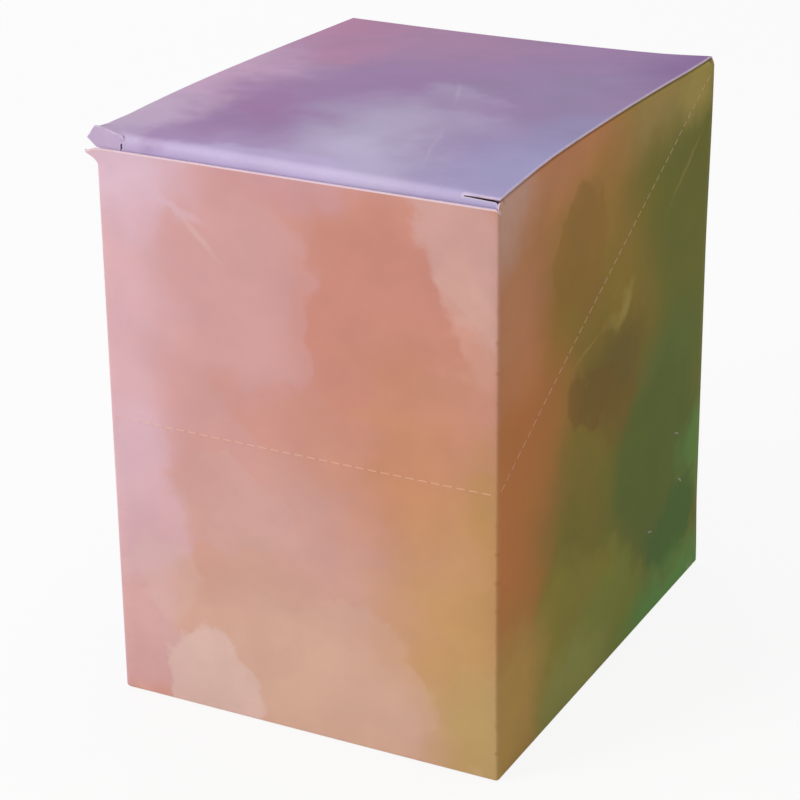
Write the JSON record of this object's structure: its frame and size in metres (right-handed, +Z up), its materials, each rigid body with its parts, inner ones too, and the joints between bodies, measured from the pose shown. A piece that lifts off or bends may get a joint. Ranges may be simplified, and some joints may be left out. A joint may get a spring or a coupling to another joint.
{
  "type": "tuck-top display carton",
  "caption": "Closed tuck-top paperboard carton with a slit-lock lid, dust flaps, a snap-lock base and a perforated tear line across the front and up both sides.",
  "frame": {"origin": "middle of the base, on the outer face of the base's front flap", "axes": "+Z up, front panel facing -Y, +X to the right when seen from the front"},
  "size_m": [0.1134, 0.136, 0.1584],
  "materials": {
    "carton_board": "satin varnished board with a soft wash of pink, ochre and green",
    "lid_board": "satin varnished board with a soft wash of violet and lavender"
  },
  "bodies": {
    "carton": {"carton": "carton_board"},
    "lid": {"lid": "lid_board"}
  },
  "joints": [
    {"name": "lid_hinge", "type": "hinge", "parent": "carton", "child": "lid", "pos_m": [0, 0.068, 0.152], "axis": [-1, 0, 0], "range_deg": [0, 180]}
  ]
}
